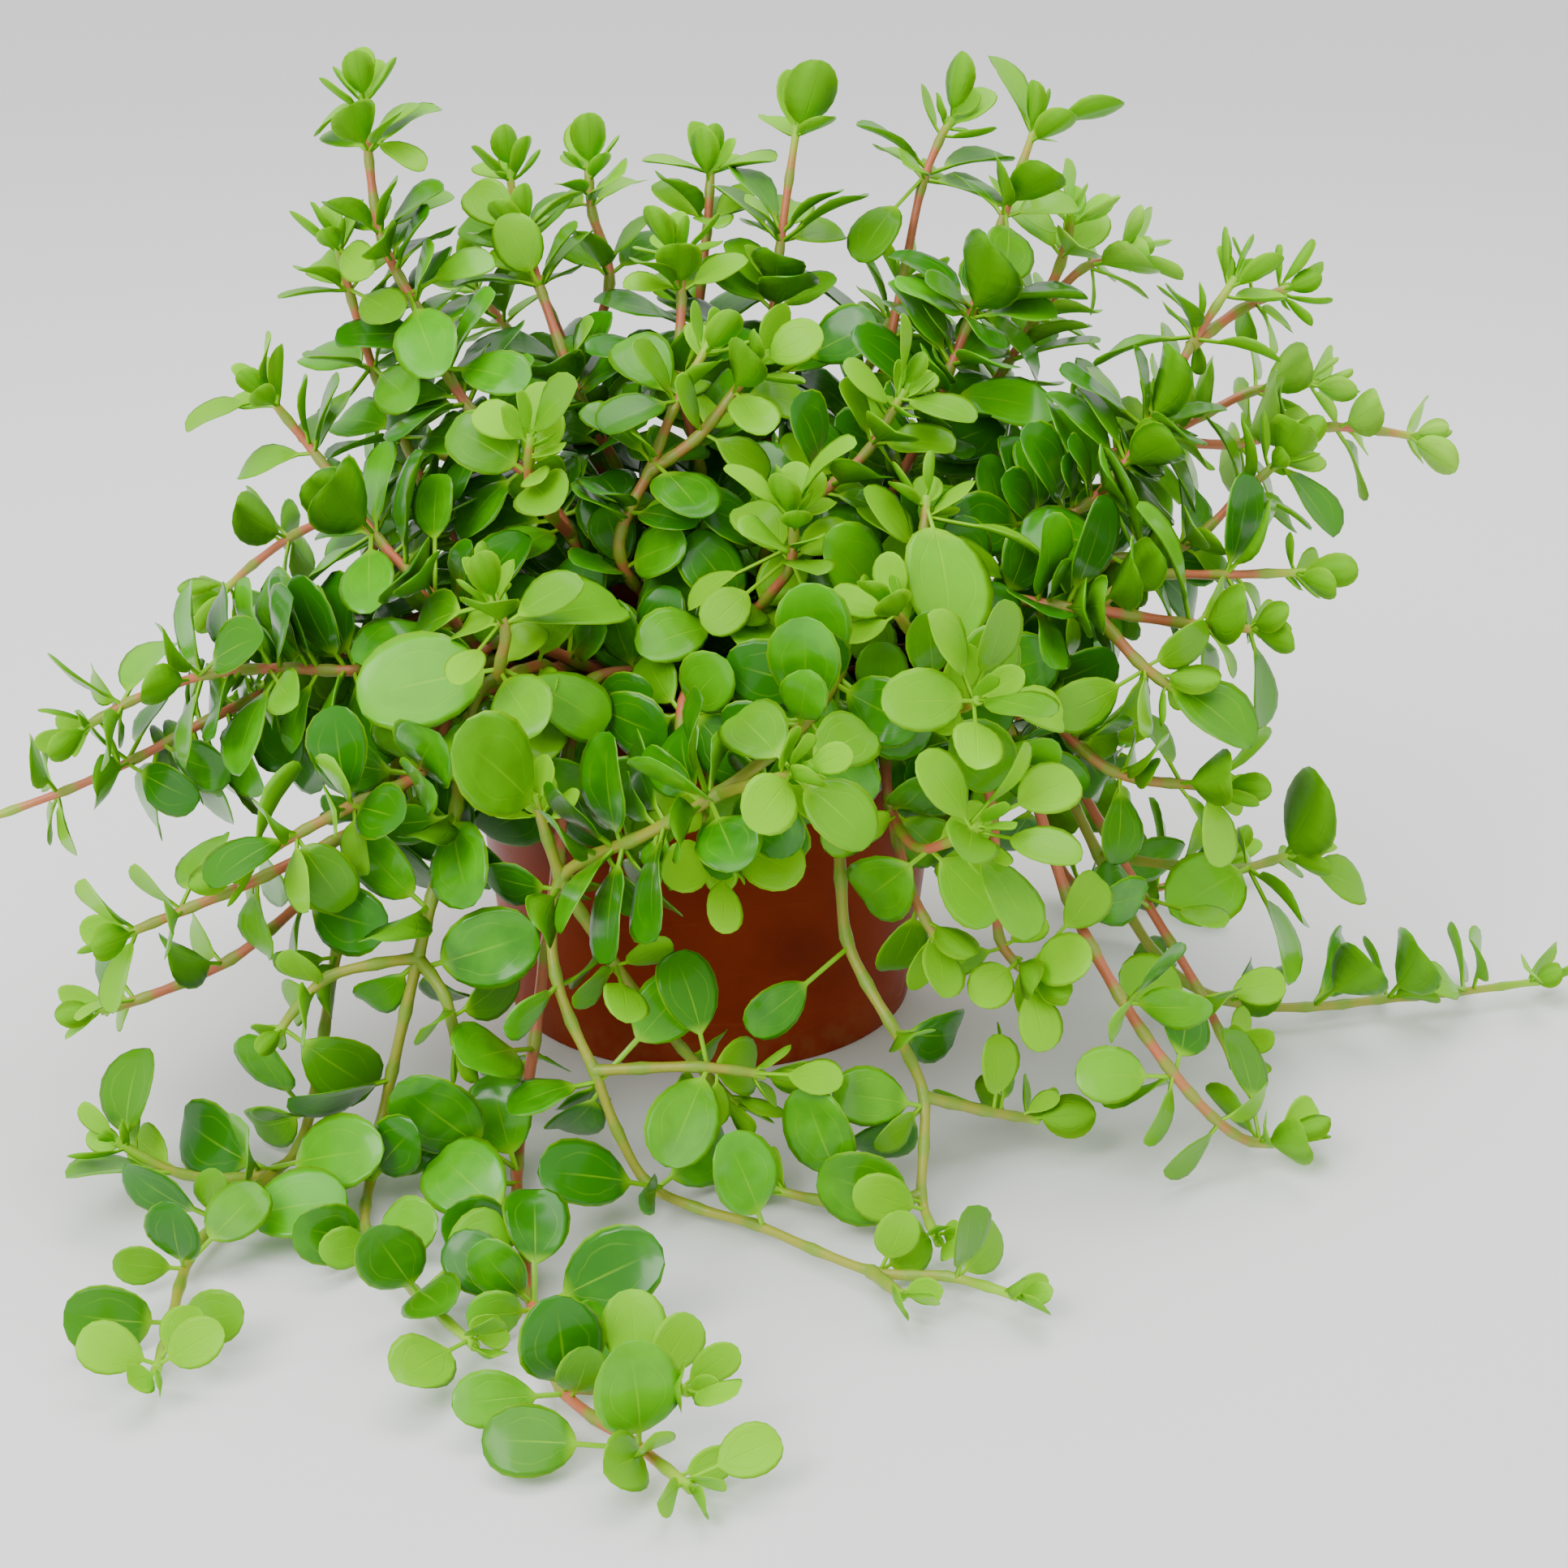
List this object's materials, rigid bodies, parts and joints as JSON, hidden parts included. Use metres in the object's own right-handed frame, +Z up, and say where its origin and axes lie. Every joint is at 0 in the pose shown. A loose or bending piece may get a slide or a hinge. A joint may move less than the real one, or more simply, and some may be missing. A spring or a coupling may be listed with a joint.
{
  "type": "potted peperomia",
  "caption": "Peperomia in a tapered plastic nursery pot of soil, with leafy stems that stand in a dome and trail over the rim and along the ground.",
  "frame": {"origin": "centre of the pot's base, on the flat pad that faces the ground", "axes": "+Z up along the pot's axis, -Y the plant's front as pictured, +X to the right seen from the front"},
  "size_m": [0.3829, 0.3803, 0.2196],
  "materials": {
    "terracotta_plastic": "smooth, slightly glossy",
    "potting_soil": "loose, dark and matt",
    "leafy_stem": "satin green leaves on pinkish to olive stems",
    "pale_leafy_stem": "satin yellow-green leaves on olive stems"
  },
  "bodies": {
    "root": {"pot": "terracotta_plastic", "soil": "potting_soil", "stem_back_left": "leafy_stem", "stem_back_mid": "leafy_stem", "stem_back_pale": "pale_leafy_stem", "stem_back_right": "leafy_stem", "stem_big_left": "leafy_stem", "stem_centre_lime": "leafy_stem", "stem_far_1": "leafy_stem", "stem_far_2": "leafy_stem", "stem_far_3": "leafy_stem", "stem_far_4": "leafy_stem", "stem_far_5": "leafy_stem", "stem_far_6": "leafy_stem", "stem_front_floor": "leafy_stem", "stem_front_hang": "leafy_stem", "stem_front_lime": "leafy_stem", "stem_front_main": "leafy_stem", "stem_front_right": "leafy_stem", "stem_front_up": "leafy_stem", "stem_inner_right": "leafy_stem", "stem_left_arm": "leafy_stem", "stem_left_far": "leafy_stem", "stem_left_lime": "leafy_stem", "stem_left_long": "leafy_stem", "stem_left_low": "leafy_stem", "stem_left_outer": "leafy_stem", "stem_left_trail": "leafy_stem", "stem_left_upright": "leafy_stem", "stem_mid_left": "leafy_stem", "stem_mid_lime": "leafy_stem", "stem_right_back": "pale_leafy_stem", "stem_right_big": "leafy_stem", "stem_right_far": "leafy_stem", "stem_right_flat": "leafy_stem", "stem_right_low": "leafy_stem", "stem_right_mid": "leafy_stem", "stem_right_pair": "leafy_stem", "stem_right_rosette": "leafy_stem", "stem_right_tip": "leafy_stem", "stem_right_trail": "leafy_stem", "stem_right_up": "leafy_stem", "stem_tall_left": "leafy_stem", "stem_tall_mid": "leafy_stem", "stem_tall_right": "leafy_stem"}
  },
  "joints": []
}
